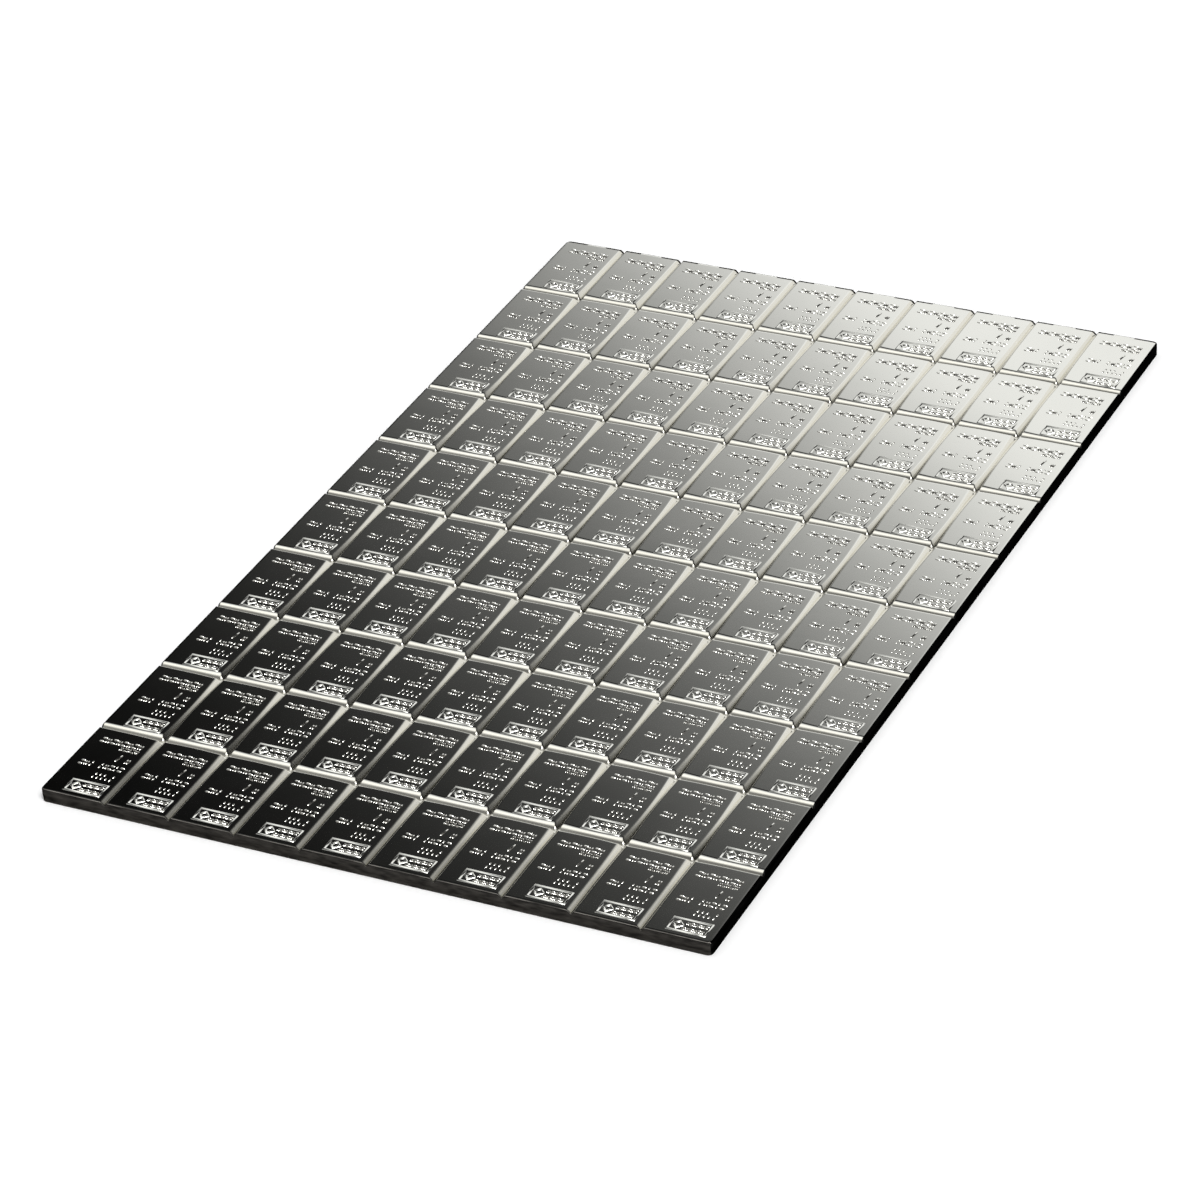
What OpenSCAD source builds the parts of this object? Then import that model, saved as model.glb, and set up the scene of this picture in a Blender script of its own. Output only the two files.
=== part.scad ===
// Breakable sheet of fine silver: one pressed plate of small tiles with break grooves between them.
// The plate lies on its plain back, centred on the origin; +Y runs along its long side, +Z is up.

/* [Sheet] */
// Number of tiles across the sheet
columns = 10; // [3:1:12]
// Number of tiles along the sheet
rows = 10; // [3:1:12]
// Width of one tile, from groove centre to groove centre
tile_w = 6.6; // [5:0.1:10]
// Length of one tile, from groove centre to groove centre
tile_l = 10.8; // [8:0.1:16]
// Thickness of the sheet over its tiles
sheet_t = 1.36; // [1:0.02:2.5]
// Radius of the sheet's upright corners
corner_r = 0.5; // [0.3:0.05:1]
// Radius of the top edge where the sheared rim rolls over
rim_r = 0.15; // [0.1:0.05:0.25]

/* [Break grooves] */
// Depth of the cross grooves, and of the long grooves where they meet them
groove_d = 0.44; // [0.38:0.02:0.5]
// Depth of a long groove between two crossings, where its root arches up
middle_d = 0.23; // [0.18:0.01:0.28]
// Depth of a long groove in the border rows, where it runs straight out to the rim
border_d = 0.32; // [0.24:0.02:0.36]
// Width of a groove's flat root
root_w = 0.1; // [0.08:0.02:0.2]
// Slope of the groove walls, from the upright
wall_angle = 38; // [30:1:46]

/* [Hidden] */

// Facets of the small edge radii and of the arched roots
edge_fn = 48;
arch_fn = 720;

sheet_w = columns * tile_w;
sheet_l = rows * tile_l;

// Height by which a groove's cut clears the tile tops
lift = 0.05;
// Length by which a groove's cut runs out past the rim
run_out = 0.5;

// Arched root of a long groove, from one crossing to the next
arch_half = tile_l / 2;
arch_rise = groove_d - middle_d;
arch_r = (arch_half * arch_half + arch_rise * arch_rise) / (2 * arch_rise);
// Gap between a long groove's end and the crossing's centre, within the cross groove's root
end_gap = 2.2 * arch_rise * (groove_d + lift) / arch_half;

// Half width of a groove at the given height above its root
function groove_half(height) = root_w / 2 + height * tan(wall_angle);

// Section of a groove's cut of the given height, with its root at the origin
module groove_section(height) {
    polygon([
        [-root_w / 2, 0],
        [root_w / 2, 0],
        [groove_half(height), height],
        [-groove_half(height), height]
    ]);
}

// Straight groove across the whole sheet, along X
module cross_groove() {
    translate([0, 0, sheet_t - groove_d])
        rotate([90, 0, 90])
            linear_extrude(height = sheet_w + 2 * run_out, center = true)
                groove_section(groove_d + lift);
}

// Groove along one tile's long side: its root arches up between the two crossings inside which it ends
module arched_groove() {
    arch_angle = asin((arch_half - end_gap) / arch_r);
    translate([0, 0, sheet_t - middle_d - arch_r])
        rotate([0, -90, 0])
            rotate(-arch_angle)
                rotate_extrude(angle = 2 * arch_angle, $fn = arch_fn)
                    translate([arch_r, 0])
                        rotate(-90)
                            groove_section(groove_d + lift);
}

// Groove along a border tile's long side: straight, from inside the cross groove out past the rim
module border_groove() {
    translate([0, tile_l + run_out, sheet_t - border_d])
        rotate([90, 0, 0])
            linear_extrude(height = tile_l + run_out - end_gap)
                groove_section(border_d + lift);
}

// All the grooves of one line along the sheet
module long_line() {
    for (j = [1 : rows - 2])
        translate([0, (j + 0.5) * tile_l - sheet_l / 2, 0])
            arched_groove();
    for (turn = [0, 180])
        rotate(turn)
            translate([0, sheet_l / 2 - tile_l, 0])
                border_groove();
}

// Rectangle with rounded corners, centred
module rounded_plan() {
    square([sheet_w - 2 * corner_r, sheet_l], center = true);
    square([sheet_w, sheet_l - 2 * corner_r], center = true);
    for (x = [-1, 1], y = [-1, 1])
        translate([x * (sheet_w / 2 - corner_r), y * (sheet_l / 2 - corner_r)])
            circle(r = corner_r, $fn = edge_fn);
}

// Section of the sheet of the given width: square at the back, rolled over at the top edges
module rolled_section(width) {
    translate([-width / 2, 0])
        square([width, sheet_t - rim_r]);
    translate([rim_r - width / 2, 0])
        square([width - 2 * rim_r, sheet_t]);
    for (x = [-1, 1])
        translate([x * (width / 2 - rim_r), sheet_t - rim_r])
            circle(r = rim_r, $fn = edge_fn);
}

// Plate without its grooves: plan outline and the two rolled sections
module plate() {
    intersection() {
        linear_extrude(height = sheet_t) rounded_plan();
        rotate([90, 0, 0])
            linear_extrude(height = sheet_l, center = true) rolled_section(sheet_w);
        rotate([90, 0, 90])
            linear_extrude(height = sheet_w, center = true) rolled_section(sheet_l);
    }
}

// The one pressed piece: the plate with its grid of break grooves
module silver_sheet() {
    color("silver")
        difference() {
            plate();
            for (j = [1 : rows - 1])
                translate([0, j * tile_l - sheet_l / 2, 0])
                    cross_groove();
            for (i = [1 : columns - 1])
                translate([i * tile_w - sheet_w / 2, 0, 0])
                    long_line();
        }
}

silver_sheet();
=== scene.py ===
import math

import bpy
import numpy as np
from mathutils import Matrix, Vector


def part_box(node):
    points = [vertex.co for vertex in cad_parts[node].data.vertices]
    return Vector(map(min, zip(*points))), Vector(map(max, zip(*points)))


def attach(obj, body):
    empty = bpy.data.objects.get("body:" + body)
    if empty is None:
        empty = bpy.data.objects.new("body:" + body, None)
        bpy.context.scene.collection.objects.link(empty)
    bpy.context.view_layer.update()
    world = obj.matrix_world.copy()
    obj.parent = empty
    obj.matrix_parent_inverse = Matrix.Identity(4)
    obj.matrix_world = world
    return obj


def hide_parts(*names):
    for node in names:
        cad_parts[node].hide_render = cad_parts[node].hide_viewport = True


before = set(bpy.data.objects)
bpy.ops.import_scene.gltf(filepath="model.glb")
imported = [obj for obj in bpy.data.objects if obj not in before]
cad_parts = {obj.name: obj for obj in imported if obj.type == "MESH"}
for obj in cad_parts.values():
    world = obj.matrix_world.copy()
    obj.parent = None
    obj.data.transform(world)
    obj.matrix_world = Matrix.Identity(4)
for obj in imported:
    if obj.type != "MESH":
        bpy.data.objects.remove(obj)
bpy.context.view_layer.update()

# Sizes are in millimetres and angles in radians, unless a name or comment says otherwise
MM = 0.001
sheet_low, sheet_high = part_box("silver_sheet")
SHEET_W, SHEET_L, SHEET_T = (sheet_high - sheet_low) / MM

# Grid of tiles
COLUMNS = 10
ROWS = 10
TILE_W = SHEET_W / COLUMNS
TILE_L = SHEET_L / ROWS

# Break grooves: their depth at the crossings, halfway between them and in the border rows
GROOVE_D = 0.44
LONG_MIDDLE_D = 0.23
CROSS_MIDDLE_D = 0.32
LONG_BORDER_D = 0.32
ROOT_W = 0.1
WALL_ANGLE = math.radians(38)
# Radii of the rounded shoulders at full depth, which shrink with the depth:
# at the left and right edges of a tile, and at its front and back edges
LONG_SHOULDERS = (0.2, 0.5)
CROSS_SHOULDERS = (0.9, 0.15)
SHOULDER_STEPS = 7
# Width of the strip beside a shoulder where the tile top begins
FLAT_START = 0.1
# Number of lines in half a groove's section, and the line up to which a groove has a satin face
PROFILE_N = SHOULDER_STEPS + 3
SATIN_TOP = 6

# Rolled top edge: its radius and steps, the step at the front that carries a painted highlight,
# and the share of the roll that the end of a groove follows
RIM_R = 0.15
ROLL_STEPS = 5
HIGHLIGHT_STEP = 3
GROOVE_ROLL = 0.35
# Upright corners
CORNER_R = 0.5
# Sheared rim: height and inset of its fracture step, and the small edge at the back
FRACTURE_Z = 0.5
FRACTURE_STEP = 0.05
FRACTURE_INSET = 0.02
BACK_EDGE = 0.05
# Painted shade along the back rim, a strip in the dark rim metal: its width, and how far from a tile's
# middle it begins, from 0 to 1
BACK_SHADE_BORDER = 0.32
BACK_SHADE_FROM = 0.3

# Slight crown of each tile both ways, and the tilt that pressing left in it
CROWN_ALONG = 0.008
CROWN_ACROSS = 0.01
TILT_SPREAD = 0.004

# Grid lines on the flat of a tile
MIDS_ACROSS = 6
MIDS_ALONG = 9

rng = np.random.default_rng(7)
tile_tilt = rng.normal(0, TILT_SPREAD, (2, COLUMNS, ROWS))


# Grid of the sheet's top

def groove_profile(depth, full_shoulder):
    """Half a groove's section, from its centre line out to the tile top: offsets and heights."""
    slope = math.pi / 2 - WALL_ANGLE
    shoulder_r = full_shoulder * depth / GROOVE_D
    mouth = ROOT_W / 2 + depth * math.tan(WALL_ANGLE) + shoulder_r * math.tan(slope / 2)
    turn = np.linspace(slope, 0, SHOULDER_STEPS)
    offsets = np.concatenate([
        [0, ROOT_W / 2],
        mouth - shoulder_r * np.sin(turn),
        [mouth + FLAT_START],
    ])
    heights = np.concatenate([
        [-depth, -depth],
        -shoulder_r * (1 - np.cos(turn)),
        [0],
    ])
    return offsets, heights


def rim_lines():
    """Distances of the grid lines from the rim: the rolled edge, the painted shade border, then the
    corner radius.
    """
    turn = np.linspace(0, math.pi / 2, ROLL_STEPS + 1)
    return np.concatenate([RIM_R * (1 - np.cos(turn)), [BACK_SHADE_BORDER, CORNER_R, 2 * CORNER_R]])


def grid_lines(count, pitch, mids, depth, shoulders):
    """Positions of the grid lines across one direction, with the groove height and level at each."""
    low_offsets, low_heights = groove_profile(depth, shoulders[0])
    high_offsets, high_heights = groove_profile(depth, shoulders[1])
    levels = np.arange(PROFILE_N)
    rim = rim_lines()
    half = count * pitch / 2
    at, height, level = [], [], []

    def add(positions, line_heights, line_levels):
        at.extend(positions)
        height.extend(line_heights)
        level.extend(line_levels)

    def add_flat(positions):
        add(positions, np.zeros(len(positions)), np.full(len(positions), PROFILE_N))

    for tile in range(count):
        low = tile * pitch - half
        high = low + pitch
        if tile == 0:
            add_flat(low + rim)
        else:
            add(low + low_offsets[1:], low_heights[1:], levels[1:])
        end = high - (rim[-1] if tile == count - 1 else high_offsets[-1])
        add_flat(np.linspace(at[-1], end, mids + 2)[1:-1])
        if tile == count - 1:
            add_flat(high - rim[::-1])
        else:
            add(high - high_offsets[::-1], high_heights[::-1], levels[::-1])
    return np.array(at), np.array(height), np.array(level)


def arched_depths(places, count, pitch, middle_d, border_d):
    """Depth of a groove at places along it: full at the crossings, and even towards the rim."""
    tile = np.clip(np.floor(places / pitch + count / 2), 0, count - 1)
    along = (places / pitch + count / 2 - tile - 0.5) * 2
    inner_depth = middle_d + (GROOVE_D - middle_d) * along ** 2
    to_crossing = np.clip(np.where(tile == 0, along, -along), 0, 1)
    border_depth = border_d + (GROOVE_D - border_d) * to_crossing ** 2
    return np.where((tile == 0) | (tile == count - 1), border_depth, inner_depth)


nominal_x, _, level_x = grid_lines(COLUMNS, TILE_W, MIDS_ACROSS, GROOVE_D, LONG_SHOULDERS)
nominal_y, _, level_y = grid_lines(ROWS, TILE_L, MIDS_ALONG, GROOVE_D, CROSS_SHOULDERS)
long_depth = arched_depths(nominal_y, ROWS, TILE_L, LONG_MIDDLE_D, LONG_BORDER_D)
cross_depth = arched_depths(nominal_x, COLUMNS, TILE_W, CROSS_MIDDLE_D, CROSS_MIDDLE_D)


def tile_place(x, y):
    """Tile numbers at a point, and the point's place in its tile from -1 to 1 each way."""
    column = np.clip(np.floor(x / TILE_W + COLUMNS / 2), 0, COLUMNS - 1).astype(int)
    row = np.clip(np.floor(y / TILE_L + ROWS / 2), 0, ROWS - 1).astype(int)
    u = (x / TILE_W + COLUMNS / 2 - column - 0.5) * 2
    v = (y / TILE_L + ROWS / 2 - row - 0.5) * 2
    return column, row, u, v


def top_swell(x, y):
    """Height of a tile's crown and tilt against the plain top."""
    column, row, u, v = tile_place(x, y)
    tilt = tile_tilt[0, column, row] * u + tile_tilt[1, column, row] * v
    return tilt - CROWN_ALONG * v ** 2 - CROWN_ACROSS * u ** 2


def round_corners(x, y):
    """Moves grid points near the sheet's corners onto its upright corner radius."""
    in_x = np.abs(x) - (SHEET_W / 2 - CORNER_R)
    in_y = np.abs(y) - (SHEET_L / 2 - CORNER_R)
    corner = (in_x > 0) & (in_y > 0)
    far = np.maximum(in_x, in_y)
    pull = np.where(corner, far / np.maximum(np.hypot(in_x, in_y), 1e-9), 1)
    new_x = np.sign(x) * (np.abs(x) - in_x * (1 - pull))
    new_y = np.sign(y) * (np.abs(y) - in_y * (1 - pull))
    return np.where(corner, new_x, x), np.where(corner, new_y, y)


def top_grid():
    """Points of the grooved top, as arrays over the grid's lines."""
    long_lines = [grid_lines(COLUMNS, TILE_W, MIDS_ACROSS, depth, LONG_SHOULDERS) for depth in long_depth]
    cross_lines = [grid_lines(ROWS, TILE_L, MIDS_ALONG, depth, CROSS_SHOULDERS) for depth in cross_depth]
    x = np.column_stack([lines[0] for lines in long_lines])
    y = np.vstack([lines[0] for lines in cross_lines])
    long_z = np.column_stack([lines[1] for lines in long_lines])
    cross_z = np.vstack([lines[1] for lines in cross_lines])
    groove_z = np.minimum(long_z, cross_z)
    from_rim = np.minimum(SHEET_W / 2 - np.abs(x), SHEET_L / 2 - np.abs(y))
    into_roll = np.clip(RIM_R - from_rim, 0, RIM_R)
    drop = RIM_R - np.sqrt(RIM_R ** 2 - into_roll ** 2)
    raised = 1 + groove_z / GROOVE_D
    z = np.minimum(groove_z - GROOVE_ROLL * drop, -drop) + raised * top_swell(x, y)
    x, y = round_corners(x, y)
    return x, y, SHEET_T + z


# Mesh of the sheet

TOP, LONG_GROOVE, CROSS_GROOVE, END_RIM, PAINTED_HIGHLIGHT_EDGE, SIDE_RIM, BACK = range(7)


def make_object(name, points, faces, materials, indices):
    """Smooth-shaded mesh object from points in millimetres, with sharp edges kept sharp."""
    mesh = bpy.data.meshes.new(name)
    mesh.from_pydata((np.asarray(points) * MM).tolist(), [], faces)
    for material in materials:
        mesh.materials.append(material)
    mesh.polygons.foreach_set("material_index", indices)
    mesh.shade_smooth()
    mesh.set_sharp_from_angle(angle=math.radians(38))
    mesh.update()
    piece = bpy.data.objects.new(name, mesh)
    bpy.context.scene.collection.objects.link(piece)
    return piece


def top_metal(i, j, u):
    """Material number of a top face, from its place in the grid and its place across its tile."""
    from_side = min(i, len(nominal_x) - 2 - i)
    from_front = j
    from_back = len(nominal_y) - 2 - j
    across = min(level_x[i], level_x[i + 1])
    along = min(level_y[j], level_y[j + 1])
    # One step of the front roll gets the painted highlight
    if from_front == HIGHLIGHT_STEP:
        return PAINTED_HIGHLIGHT_EDGE
    if min(from_front, from_back) < ROLL_STEPS:
        return END_RIM
    # Painted shade: a strip along the back rim takes the dark rim metal, except near each tile's middle
    if from_back == ROLL_STEPS and abs(u) > BACK_SHADE_FROM:
        return END_RIM
    if from_side < ROLL_STEPS:
        return SIDE_RIM
    if min(across, along) >= SATIN_TOP:
        return TOP
    return LONG_GROOVE if across <= along else CROSS_GROOVE


def top_faces(number):
    """Faces of the top and their materials; each quad starts so that it splits along the mitre lines."""
    mid_x, mid_y = np.meshgrid(
        (nominal_x[:-1] + nominal_x[1:]) / 2,
        (nominal_y[:-1] + nominal_y[1:]) / 2,
        indexing="ij",
    )
    _, _, mid_u, mid_v = tile_place(mid_x, mid_y)
    faces, indices = [], []
    for i, j in np.ndindex(mid_u.shape):
        quad = [number[i, j], number[i + 1, j], number[i + 1, j + 1], number[i, j + 1]]
        if mid_u[i, j] * mid_v[i, j] < 0:
            quad = quad[1:] + quad[:1]
        faces.append([int(n) for n in quad])
        indices.append(top_metal(i, j, mid_u[i, j]))
    return faces, indices


def sheet_mesh():
    """Points, faces and material numbers of the whole sheet."""
    x, y, z = top_grid()
    number = np.arange(x.size).reshape(x.shape)
    points = [np.stack([x, y, z], axis=-1).reshape(-1, 3)]
    faces, indices = top_faces(number)

    # Rim, from the rolled edge down to the back
    loop = np.concatenate([
        number[:, 0], number[-1, 1:], number[-2::-1, -1], number[0, -2:0:-1]
    ])
    edge = points[0][loop]
    corner_x = SHEET_W / 2 - CORNER_R
    corner_y = SHEET_L / 2 - CORNER_R
    outward = edge[:, :2] - np.clip(edge[:, :2], [-corner_x, -corner_y], [corner_x, corner_y])
    outward /= np.linalg.norm(outward, axis=1)[:, None]
    rings = [loop]
    count = x.size
    for height, inset in (
        (FRACTURE_Z, 0),
        (FRACTURE_Z - FRACTURE_STEP, FRACTURE_INSET),
        (BACK_EDGE, FRACTURE_INSET),
        (0, FRACTURE_INSET + BACK_EDGE),
    ):
        points.append(np.column_stack([edge[:, :2] - inset * outward, np.full(len(loop), height)]))
        rings.append(count + np.arange(len(loop)))
        count += len(loop)
    for upper, lower in zip(rings, rings[1:]):
        for k in range(len(loop)):
            n = (k + 1) % len(loop)
            faces.append([int(upper[k]), int(lower[k]), int(lower[n]), int(upper[n])])
            indices.append(SIDE_RIM if abs(outward[k, 0]) > abs(outward[k, 1]) else END_RIM)

    # Plain back
    points.append(np.zeros((1, 3)))
    for k in range(len(loop)):
        n = (k + 1) % len(loop)
        faces.append([int(rings[-1][n]), int(rings[-1][k]), count])
        indices.append(BACK)
    return np.concatenate(points), faces, indices


# Raised marks on each tile: plain bars, pips and a frame

MARK_TOP, MARK_SIDE = range(2)
# Height, width and lean of the marks, and how far they reach down into the tile
MARK_H = 0.08
MARK_W = 0.2
MARK_SLANT = 0.2
MARK_SINK = 0.02
# Section of a mark as shares of its half width and height, and the share that is left at its ends
MARK_SECTION = [(-1, 0), (-0.65, 0.62), (0, 1), (0.65, 0.62), (1, 0)]
MARK_END = 0.3
# Strokes of each kind of mark: across, up, across, up in its own cell
CELLS = {
    "|": [(0.5, 0.1, 0.5, 0.9)],
    "/": [(0.3, 0.1, 0.3, 0.5), (0.75, 0.1, 0.75, 0.5)],
    "=": [(0.25, 0.08, 0.75, 0.08), (0.25, 0.6, 0.75, 0.6)],
    ":": [(0.5, 0.06, 0.5, 0.14), (0.5, 0.54, 0.5, 0.62)],
    ".": [(0.5, 0.06, 0.5, 0.14)],
    " ": [],
}
# Lozenge in the frame: its half width, and its middle's distance from the frame's left side
LOZENGE_R = 0.45
LOZENGE_IN = 0.7


def ridge(path, width, closed=False):
    """Rounded ridge along a path of points in the tile: points (x, y, height), faces and materials.

    The sides of an open ridge carry painted shade; a closed one is bright all over.
    """
    path = np.asarray(path, float)
    if closed:
        before, after = np.roll(path, 1, axis=0), np.roll(path, -1, axis=0)
    else:
        start = path[1] - path[0]
        start = start / np.linalg.norm(start) * width / 2
        end = path[-1] - path[-2]
        end = end / np.linalg.norm(end) * width / 2
        path = np.vstack([path[:1] - start, path, path[-1:] + end])
        before = np.vstack([path[:1] - start, path[:-1]])
        after = np.vstack([path[1:], path[-1:] + end])
    share = np.ones(len(path))
    if not closed:
        share[[0, -1]] = MARK_END
    arrive = (path - before) / np.linalg.norm(path - before, axis=1)[:, None]
    leave = (after - path) / np.linalg.norm(after - path, axis=1)[:, None]
    side = np.column_stack([-(arrive + leave)[:, 1], (arrive + leave)[:, 0]])
    side /= np.linalg.norm(side, axis=1)[:, None]
    mitre = 1 / np.sqrt((1 + (arrive * leave).sum(axis=1)) / 2)
    points = []
    for place, lateral, grow, full in zip(path, side, mitre, share):
        for across, up in MARK_SECTION:
            spot = place + lateral * across * grow * full * width / 2
            height = up * full * MARK_H - (MARK_SINK if up == 0 else 0)
            points.append((spot[0], spot[1], height))
    faces, indices = [], []
    n = len(MARK_SECTION)
    stations = len(path)
    for s in range(stations if closed else stations - 1):
        t = (s + 1) % stations
        for k in range(n):
            m = (k + 1) % n
            faces.append([s * n + m, s * n + k, t * n + k, t * n + m])
            # Sides and ends of open ridges take the painted shade
            indices.append(MARK_TOP if closed or 0 < k < n - 2 else MARK_SIDE)
    if not closed:
        last = (stations - 1) * n
        faces.append(list(range(n)))
        faces.append([last + k for k in reversed(range(n))])
        indices += [MARK_SIDE, MARK_SIDE]
    return np.array(points), faces, indices


def tile_point(across, down):
    """Point in a tile from its place across, from the left, and down, from the back edge, both 0 to 1."""
    return np.array([(across - 0.5) * TILE_W, (0.5 - down) * TILE_L])


def mark_row(left, right, foot, height, cells, width):
    """Row of marks between two places across the tile, standing on a place down it."""
    start = tile_point(left, foot)
    step = (right - left) * TILE_W / len(cells)
    strokes = []
    for n, cell in enumerate(cells):
        for x0, y0, x1, y1 in CELLS[cell]:
            low = start + ((n + x0) * step + MARK_SLANT * y0 * height, y0 * height)
            high = start + ((n + x1) * step + MARK_SLANT * y1 * height, y1 * height)
            strokes.append(ridge([low, high], width))
    return strokes


def row_marks():
    """All strokes of one tile's five rows of marks."""
    return (
        mark_row(0.17, 0.84, 0.215, 1.05, "=/=/=/=/", MARK_W * 1.1)
        + mark_row(0.54, 0.84, 0.28, 0.8, "/=/=/", MARK_W * 0.6)
        + mark_row(0.6, 0.84, 0.44, 1.15, "| /", MARK_W)
        + mark_row(0.16, 0.85, 0.56, 1.0, "=/: :/=:=", MARK_W)
        + mark_row(0.5, 0.84, 0.705, 1.1, ":::.:", MARK_W)
    )


def stamp_marks():
    """Frame at the foot of one tile, filled with two rows of marks beside a lozenge."""
    low, high = tile_point(0.32, 0.93), tile_point(0.86, 0.775)
    frame_path = [low, (high[0], low[1]), high, (low[0], high[1])]
    lozenge_at = np.array([low[0] + LOZENGE_IN, (low[1] + high[1]) / 2])
    lozenge = [lozenge_at + LOZENGE_R * np.array(d) for d in ((1, 0), (0, 1), (-1, 0), (0, -1))]
    return (
        [ridge(frame_path, MARK_W * 1.3, closed=True), ridge(lozenge, MARK_W * 1.3, closed=True)]
        + mark_row(0.52, 0.83, 0.84, 0.5, "/=/=/=", MARK_W * 0.8)
        + mark_row(0.5, 0.82, 0.91, 0.5, "=/=/=/", MARK_W * 0.8)
    )


def on_every_tile(name, strokes, materials):
    """One object holding the given strokes on each tile's top."""
    flat, faces, indices, count = [], [], [], 0
    for points, stroke_faces, stroke_indices in strokes:
        flat.append(points)
        faces += [[count + k for k in face] for face in stroke_faces]
        indices += stroke_indices
        count += len(points)
    template = np.concatenate(flat)
    all_points, all_faces = [], []
    for column in range(COLUMNS):
        for row in range(ROWS):
            x = template[:, 0] + (column + 0.5) * TILE_W - SHEET_W / 2
            y = template[:, 1] + (row + 0.5) * TILE_L - SHEET_L / 2
            z = template[:, 2] + SHEET_T + top_swell(x, y)
            base = len(all_points) * count
            all_points.append(np.column_stack([x, y, z]))
            all_faces += [[base + k for k in face] for face in faces]
    return make_object(name, np.concatenate(all_points), all_faces, materials, indices * COLUMNS * ROWS)


# Materials

MIRROR = ((0.90, 0.905, 0.85), (0.94, 0.94, 0.885))
SATIN = ((0.80, 0.78, 0.69), (0.92, 0.90, 0.81))
# Painted shade on the sides of the raised marks
MARK_PAINTED_SHADE = ((0.26, 0.25, 0.23), (0.40, 0.38, 0.35))
# Painted shade on the sheared rim: the silver rim gets dark colours in place of the dark it reflects,
# darker on the long sides than at the ends; its mottled streaks are the rim's own
RIM_PAINTED_SHADE = ((0.018, 0.017, 0.016), (0.06, 0.056, 0.051))
SIDE_RIM_PAINTED_SHADE = ((0.003, 0.003, 0.003), (0.009, 0.009, 0.009))
# Painted highlight along the front top edge, broken up by noise
EDGE_PAINTED_HIGHLIGHT = ((0.03, 0.028, 0.026), (0.45, 0.43, 0.39))
# Dimmed reflection of the rim, part of its painted shade
RIM_SHADE_EDGE_TINT = 0.1


def new_material(name):
    """New material; returns it, its node tree and its shader."""
    material = bpy.data.materials.new(name)
    material.use_nodes = True
    tree = material.node_tree
    return material, tree, tree.nodes["Principled BSDF"]


def add_node(tree, kind, inputs=None, **settings):
    """New node with its settings and unlinked input values."""
    node = tree.nodes.new(kind)
    for key, value in settings.items():
        setattr(node, key, value)
    for key, value in (inputs or {}).items():
        node.inputs[key].default_value = value
    return node


def noise_field(tree, scale):
    """Noise over the object's own coordinates, with a scale a millimetre for each axis."""
    place = add_node(tree, "ShaderNodeTexCoord")
    size = add_node(tree, "ShaderNodeMapping", {"Scale": [s / MM for s in scale]})
    noise = add_node(tree, "ShaderNodeTexNoise", {"Scale": 1.0, "Detail": 3.0})
    tree.links.new(place.outputs["Object"], size.inputs["Vector"])
    tree.links.new(size.outputs["Vector"], noise.inputs["Vector"])
    return noise.outputs["Fac"]


def remap(tree, value, source, target, smooth=False):
    """Value mapped from the source range to the target range and held inside it."""
    node = add_node(tree, "ShaderNodeMapRange", {1: source[0], 2: source[1], 3: target[0], 4: target[1]})
    if smooth:
        node.interpolation_type = "SMOOTHSTEP"
    tree.links.new(value, node.inputs[0])
    return node.outputs[0]


def blend_colours(tree, field, first, second):
    """Colour that runs from the first to the second as the field rises."""
    ramp = add_node(tree, "ShaderNodeValToRGB")
    ramp.color_ramp.elements[0].position = 0.3
    ramp.color_ramp.elements[1].position = 0.7
    ramp.color_ramp.elements[0].color = (*first, 1)
    ramp.color_ramp.elements[1].color = (*second, 1)
    tree.links.new(field, ramp.inputs["Fac"])
    return ramp.outputs["Color"]


def metal(name, colours, roughness, tone_scale, relief_scale, relief_height, edge_tint=1.0):
    """Metal with mottled colour and gloss, and a fine relief of the given height in millimetres."""
    material, tree, shader = new_material(name)
    shader.inputs["Metallic"].default_value = 1.0
    shader.inputs["Specular Tint"].default_value = (edge_tint, edge_tint, edge_tint, 1)
    tone = noise_field(tree, tone_scale)
    tree.links.new(blend_colours(tree, tone, *colours), shader.inputs["Base Color"])
    tree.links.new(remap(tree, tone, (0.3, 0.7), roughness), shader.inputs["Roughness"])
    bump = add_node(tree, "ShaderNodeBump", {"Strength": 1.0, "Distance": relief_height * MM})
    tree.links.new(noise_field(tree, relief_scale), bump.inputs["Height"])
    tree.links.new(bump.outputs["Normal"], shader.inputs["Normal"])
    return material


sheet_metals = {
    TOP: metal("polished_silver", MIRROR, (0.05, 0.08), (0.2, 0.2, 0.2), (0.6, 0.6, 0.6), 0.0004),
    LONG_GROOVE: metal("long_groove_satin", SATIN, (0.11, 0.17), (1.5, 0.1, 1.5), (6, 0.2, 6), 0.0004),
    CROSS_GROOVE: metal("cross_groove_satin", SATIN, (0.14, 0.2), (0.1, 1.5, 1.5), (0.2, 6, 6), 0.0006),
    # Rim metals: painted shade over the rim's own mottled streaks
    END_RIM: metal("sheared_ends_painted_shade", RIM_PAINTED_SHADE, (0.38, 0.55), (0.8, 0.8, 3), (0.4, 0.4, 9), 0.01, RIM_SHADE_EDGE_TINT),
    # Painted highlight on the front rolled edge
    PAINTED_HIGHLIGHT_EDGE: metal("edge_painted_highlight", EDGE_PAINTED_HIGHLIGHT, (0.3, 0.4), (0.35, 0.35, 0.35), (2, 2, 2), 0.004),
    SIDE_RIM: metal(
        "sheared_sides_painted_shade", SIDE_RIM_PAINTED_SHADE, (0.38, 0.55), (0.3, 0.3, 2.5), (0.4, 0.4, 9), 0.01, RIM_SHADE_EDGE_TINT
    ),
    BACK: metal("back_satin", SATIN, (0.24, 0.34), (0.15, 0.05, 0.1), (6, 0.1, 6), 0.002),
}
mark_metals = {
    MARK_TOP: metal("mark_silver", MIRROR, (0.08, 0.14), (0.6, 0.6, 0.6), (4, 4, 4), 0.001),
    MARK_SIDE: metal("mark_shadow", MARK_PAINTED_SHADE, (0.3, 0.4), (0.6, 0.6, 0.6), (4, 4, 4), 0.001),
}


# The object

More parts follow.
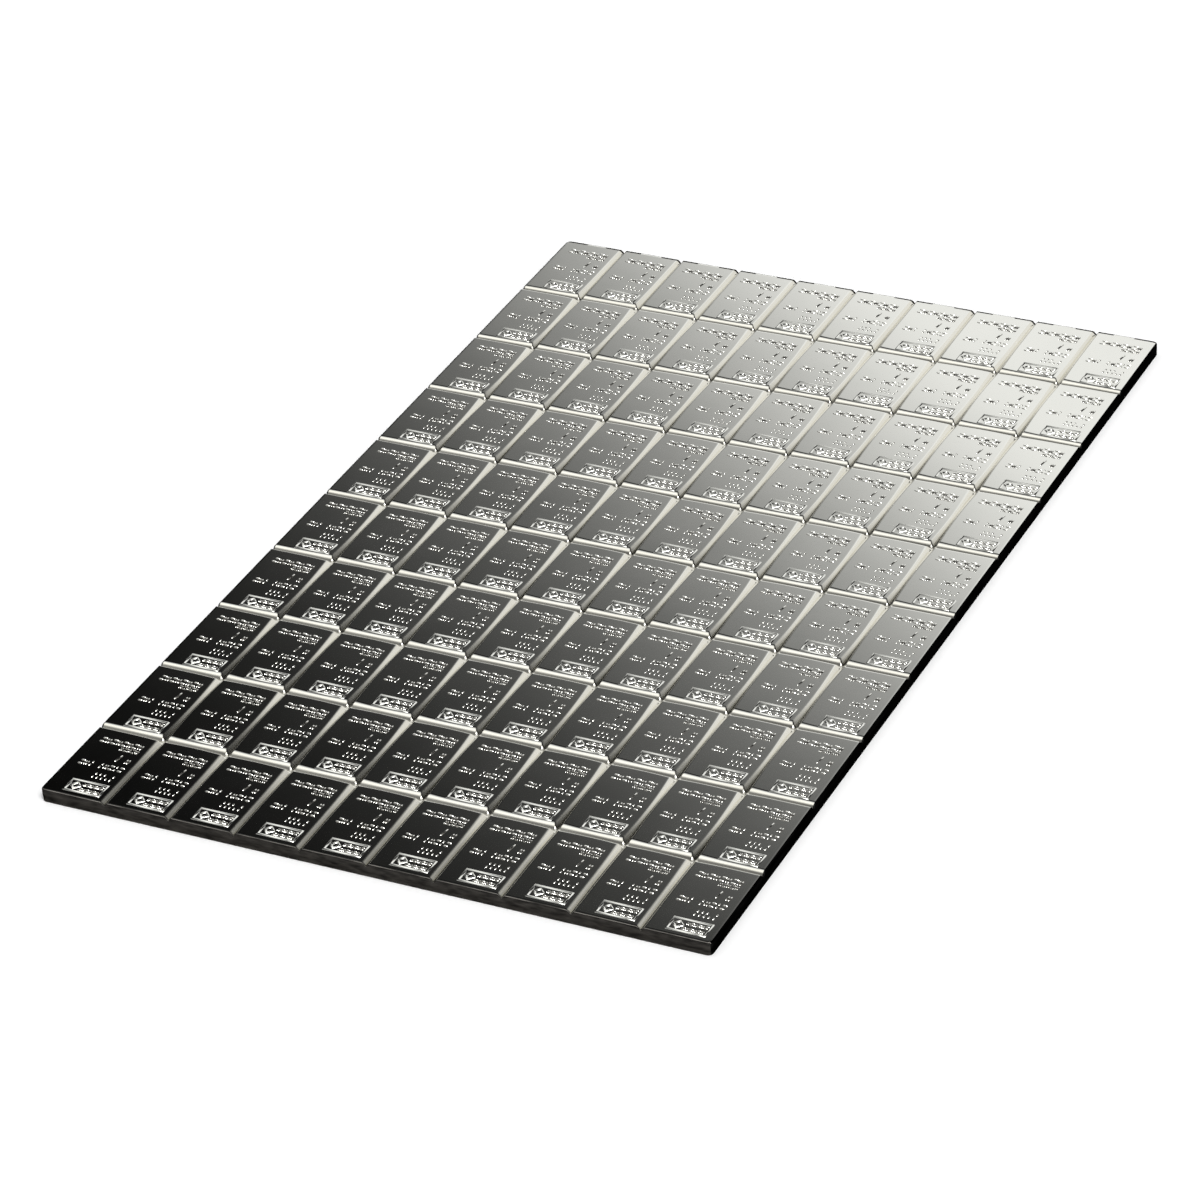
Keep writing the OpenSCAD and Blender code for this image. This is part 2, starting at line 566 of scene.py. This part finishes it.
points, faces, indices = sheet_mesh()
sheet = make_object("sheet_skin", points, faces, sheet_metals.values(), indices)
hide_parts("silver_sheet")
rows_piece = on_every_tile("row_marks", row_marks(), mark_metals.values())
stamp_piece = on_every_tile("stamp_marks", stamp_marks(), mark_metals.values())
for piece in (sheet, rows_piece, stamp_piece):
    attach(piece, "root")


# Floor, in metres

FLOOR_HALF = 3.0
FLOOR_GAP = 0.00002
floor_mesh = bpy.data.meshes.new("floor")
corners = [(-1, -1), (1, -1), (1, 1), (-1, 1)]
floor_points = [(x * FLOOR_HALF, y * FLOOR_HALF, -FLOOR_GAP) for x, y in corners]
floor_mesh.from_pydata(floor_points, [], [(0, 1, 2, 3)])
floor_material, _, floor_shader = new_material("pale_floor")
floor_shader.inputs["Base Color"].default_value = (0.94, 0.94, 0.94, 1)
floor_shader.inputs["Roughness"].default_value = 0.8
floor_mesh.materials.append(floor_material)
floor = bpy.data.objects.new("floor", floor_mesh)
bpy.context.scene.collection.objects.link(floor)


# Soft studio

# Large light low behind: direction of its middle, radius, and how it fades past its edge
SOFTBOX_AIM = (0.078, 0.992, 0.094)
SOFTBOX_R = math.radians(35.6)
SOFTBOX_FADE = math.radians(3.1)
SOFTBOX_SHAPE = 1.33
SOFTBOX_LIGHT = 0.88
# Round lights: direction of the middle, angles from it in degrees where fading begins and ends, strength
ROUND_LIGHTS = {
    "overhead": ((-0.38, 0.08, 0.92), (5, 38), 1.25),
    "high_right": ((0.42, -0.34, 0.84), (3, 24), 15.0),
    "low_right": ((0.8, -0.45, 0.35), (10, 62), 0.55),
    "dim_room": ((-0.3, -0.9, 0.3), (40, 95), 0.1),
    "left": ((-0.84, -0.49, 0.25), (20, 48), 0.25),
}
# Pale horizon: elevations where it begins and ends to fade into the dark of the room
HORIZON_EDGE = (math.radians(6), math.radians(20))
HORIZON_LIGHT = 0.3
DARKEST = 0.003


def combine(tree, operation, *values):
    """Arithmetic on values that are outputs or numbers."""
    node = add_node(tree, "ShaderNodeMath", operation=operation)
    for socket, value in zip(node.inputs, values):
        if isinstance(value, (int, float)):
            socket.default_value = value
        else:
            tree.links.new(value, socket)
    return node.outputs[0]


def angle_from(tree, direction, aim):
    """Angle between the direction looked in and the direction of a light's middle."""
    facing = add_node(tree, "ShaderNodeVectorMath", operation="DOT_PRODUCT")
    facing.inputs[1].default_value = Vector(aim).normalized()
    tree.links.new(direction, facing.inputs[0])
    return combine(tree, "ARCCOSINE", facing.outputs["Value"])


def studio():
    """World that lights the scene from all round."""
    world = bpy.data.worlds.new("studio")
    world.use_nodes = True
    tree = world.node_tree
    direction = add_node(tree, "ShaderNodeTexCoord").outputs["Generated"]
    axes = add_node(tree, "ShaderNodeSeparateXYZ")
    tree.links.new(direction, axes.inputs[0])

    # Light behind, which fades past its edge
    past_edge = combine(tree, "SUBTRACT", angle_from(tree, direction, SOFTBOX_AIM), SOFTBOX_R)
    away = combine(tree, "DIVIDE", combine(tree, "MAXIMUM", past_edge, 0.0), SOFTBOX_FADE)
    fade = combine(tree, "MULTIPLY", combine(tree, "POWER", away, SOFTBOX_SHAPE), -1.0)
    softbox = combine(tree, "MULTIPLY", combine(tree, "EXPONENT", fade), SOFTBOX_LIGHT)

    # Pale horizon, then the round lights
    elevation = combine(tree, "ARCSINE", axes.outputs["Z"])
    horizon = remap(tree, elevation, HORIZON_EDGE, (HORIZON_LIGHT, DARKEST), smooth=True)
    light = combine(tree, "MAXIMUM", softbox, horizon)
    for aim, edge, strength in ROUND_LIGHTS.values():
        angle = angle_from(tree, direction, aim)
        glow = remap(tree, angle, [math.radians(a) for a in edge], (strength, 0.0), smooth=True)
        light = combine(tree, "ADD", light, glow)
    background = tree.nodes["Background"]
    background.inputs["Color"].default_value = (1, 1, 1, 1)
    tree.links.new(light, background.inputs["Strength"])
    bpy.context.scene.world = world


studio()
bpy.context.scene.view_settings.view_transform = "Standard"


# Camera at the photograph's angle

LENS = 148.9
SENSOR = 36.0
AIM = Vector((-0.16, -6.74, 0.0)) * MM
DISTANCE = 466.1 * MM
AZIMUTH = math.radians(28.02)
ELEVATION = math.radians(32.37)
ROLL = math.radians(-4.42)

back = Vector((
    math.sin(AZIMUTH) * math.cos(ELEVATION),
    -math.cos(AZIMUTH) * math.cos(ELEVATION),
    math.sin(ELEVATION),
))
camera = bpy.data.objects.new("camera", bpy.data.cameras.new("camera"))
camera.data.lens = LENS
camera.data.sensor_width = SENSOR
camera.data.clip_start = 0.01
camera.matrix_world = (
    Matrix.Translation(AIM + DISTANCE * back)
    @ back.to_track_quat("Z", "Y").to_matrix().to_4x4()
    @ Matrix.Rotation(ROLL, 4, "Z")
)
bpy.context.scene.collection.objects.link(camera)
bpy.context.scene.camera = camera
